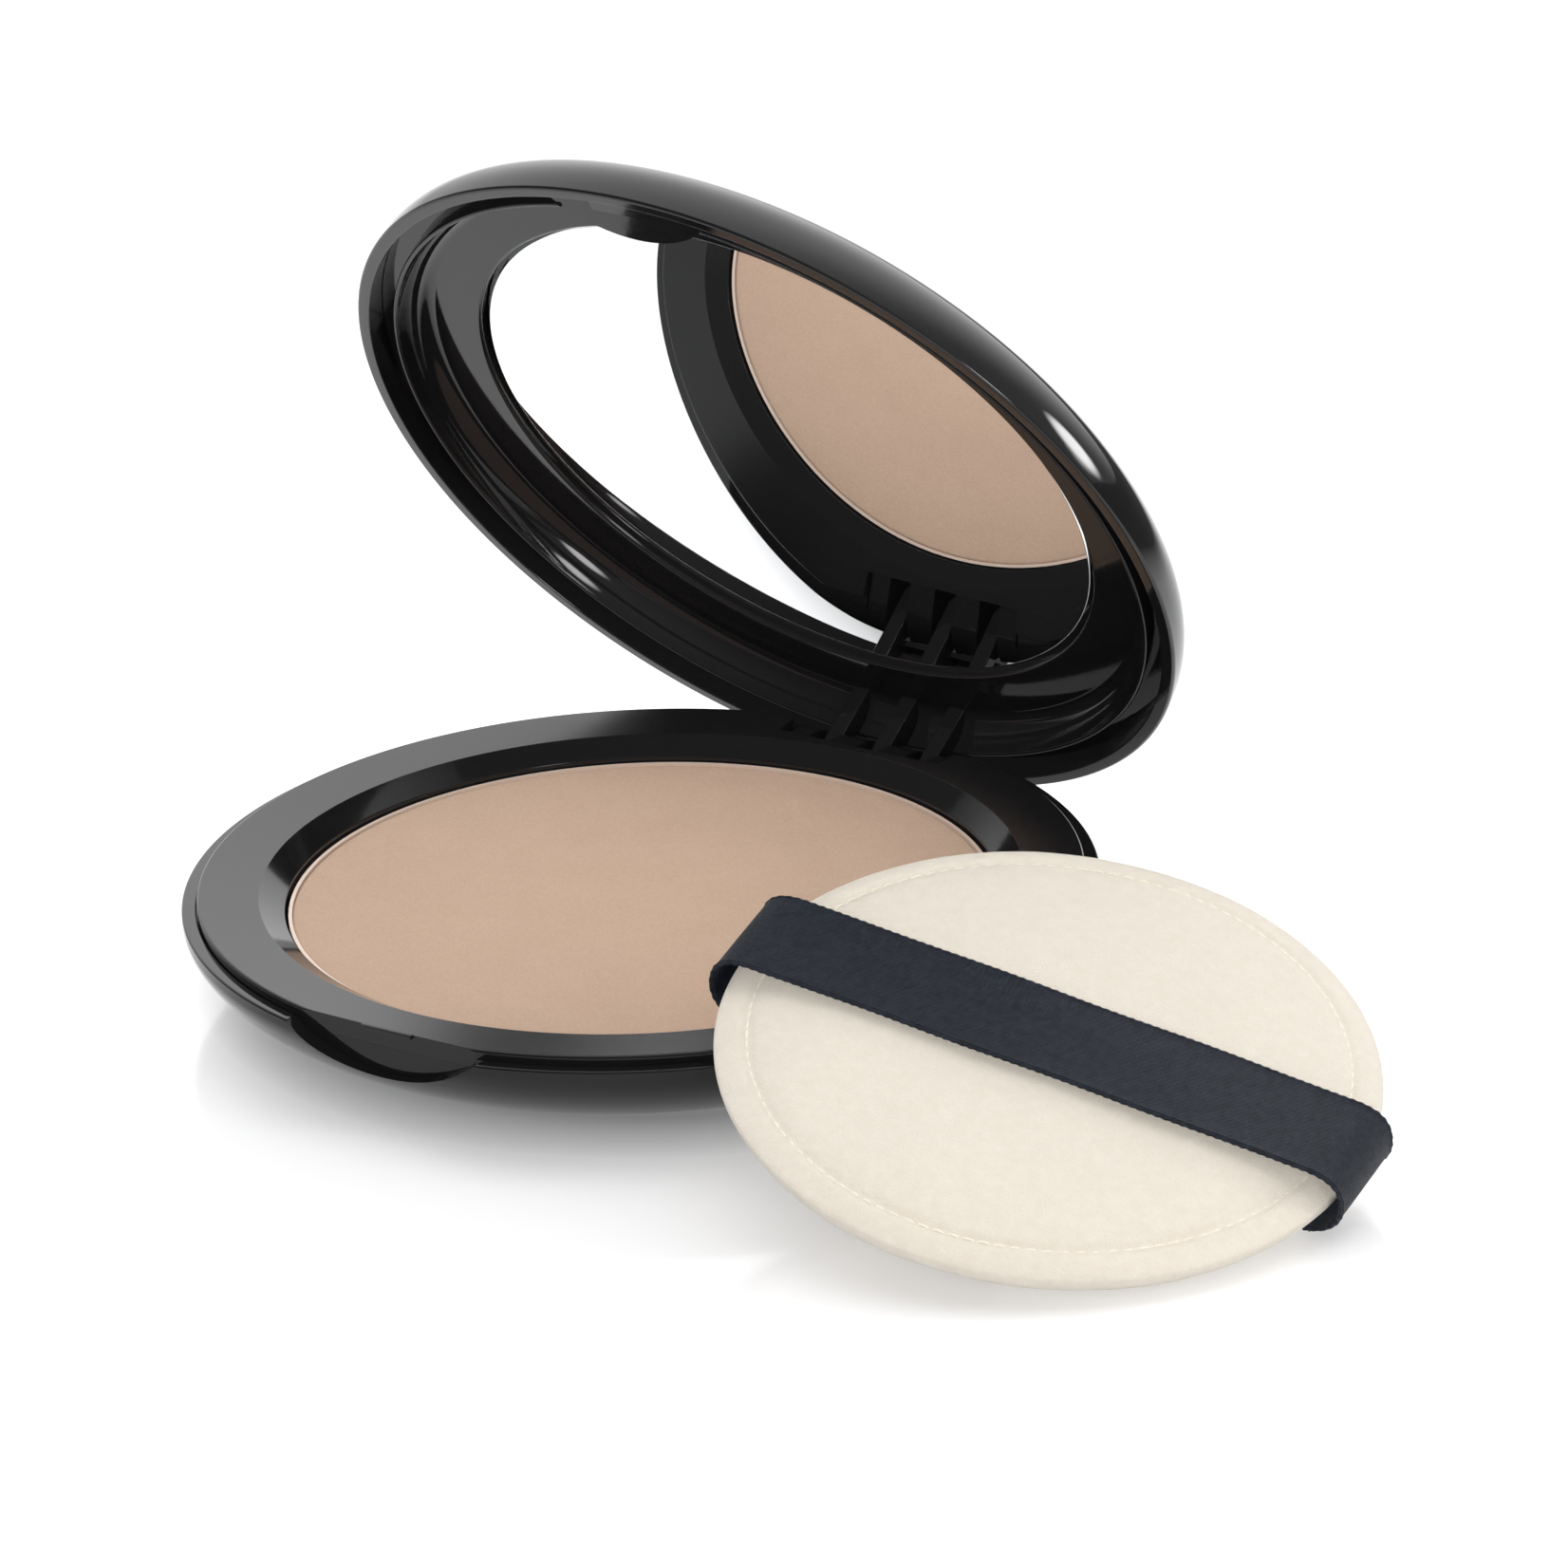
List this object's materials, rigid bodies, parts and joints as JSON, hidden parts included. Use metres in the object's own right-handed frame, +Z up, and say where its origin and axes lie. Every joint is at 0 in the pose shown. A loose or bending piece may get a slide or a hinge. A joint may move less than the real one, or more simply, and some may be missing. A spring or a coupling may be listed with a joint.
{
  "type": "powder compact",
  "caption": "Round gloss-black pressed-powder compact with a pinned rear hinge, mirrored lid, metal pan of powder, thumb scoop and a velour puff with a ribbon band.",
  "frame": {"origin": "centre of the base's flat foot, on the surface that the compact stands on", "axes": "+Z up, out of the foot's face; +Y towards the hinge; -Y towards the thumb scoop; +X to the right of a user who faces the mirror"},
  "size_m": [0.1179, 0.0866, 0.071],
  "materials": {
    "case_plastic": "polished injection-moulded black",
    "label_paper": "blank matt sticker",
    "adhesive": "clear glue or tape",
    "godet_metal": "drawn sheet",
    "pressed_powder": "pressed powder, matt and slightly grainy",
    "pin_steel": "drawn wire",
    "mirror_paint": "back paint of the mirror",
    "mirror": "silvered glass with a bevelled edge",
    "velour": "short-pile cream velour",
    "foam": "soft foam",
    "velour_thread": "cream thread",
    "ribbon_satin": "navy-black satin ribbon with woven edges",
    "ribbon_thread": "navy-black thread"
  },
  "bodies": {
    "base": {"base_shell": "case_plastic", "base_label": "label_paper", "base_deck": "case_plastic", "godet_glue": "adhesive", "godet": "godet_metal", "powder_cake": "pressed_powder", "hinge_pin": "pin_steel"},
    "lid": {"lid_shell": "case_plastic", "lid_frame": "case_plastic", "mirror_tape": "adhesive", "mirror_backing": "mirror_paint", "mirror_glass": "mirror"},
    "puff": {"puff_back": "velour", "puff_core": "foam", "puff_face": "velour", "puff_seam": "velour_thread", "puff_ribbon": "ribbon_satin", "ribbon_stitches": "ribbon_thread"}
  },
  "joints": [
    {"name": "lid_hinge", "type": "hinge", "parent": "base", "child": "lid", "pos_m": [0, 0.0351, 0.00495], "axis": [-1, 0, 0], "range_deg": [-58.5, 46.5]},
    {"name": "puff_slide", "type": "slide", "parent": "base", "child": "puff", "axis": [0.5664, 0.8241, 0], "range_m": [-0.03, 0.036]}
  ],
  "couplings": [
    {"joint": "puff_slide", "follows": "lid_hinge", "m_per_rad": -0.0335}
  ]
}
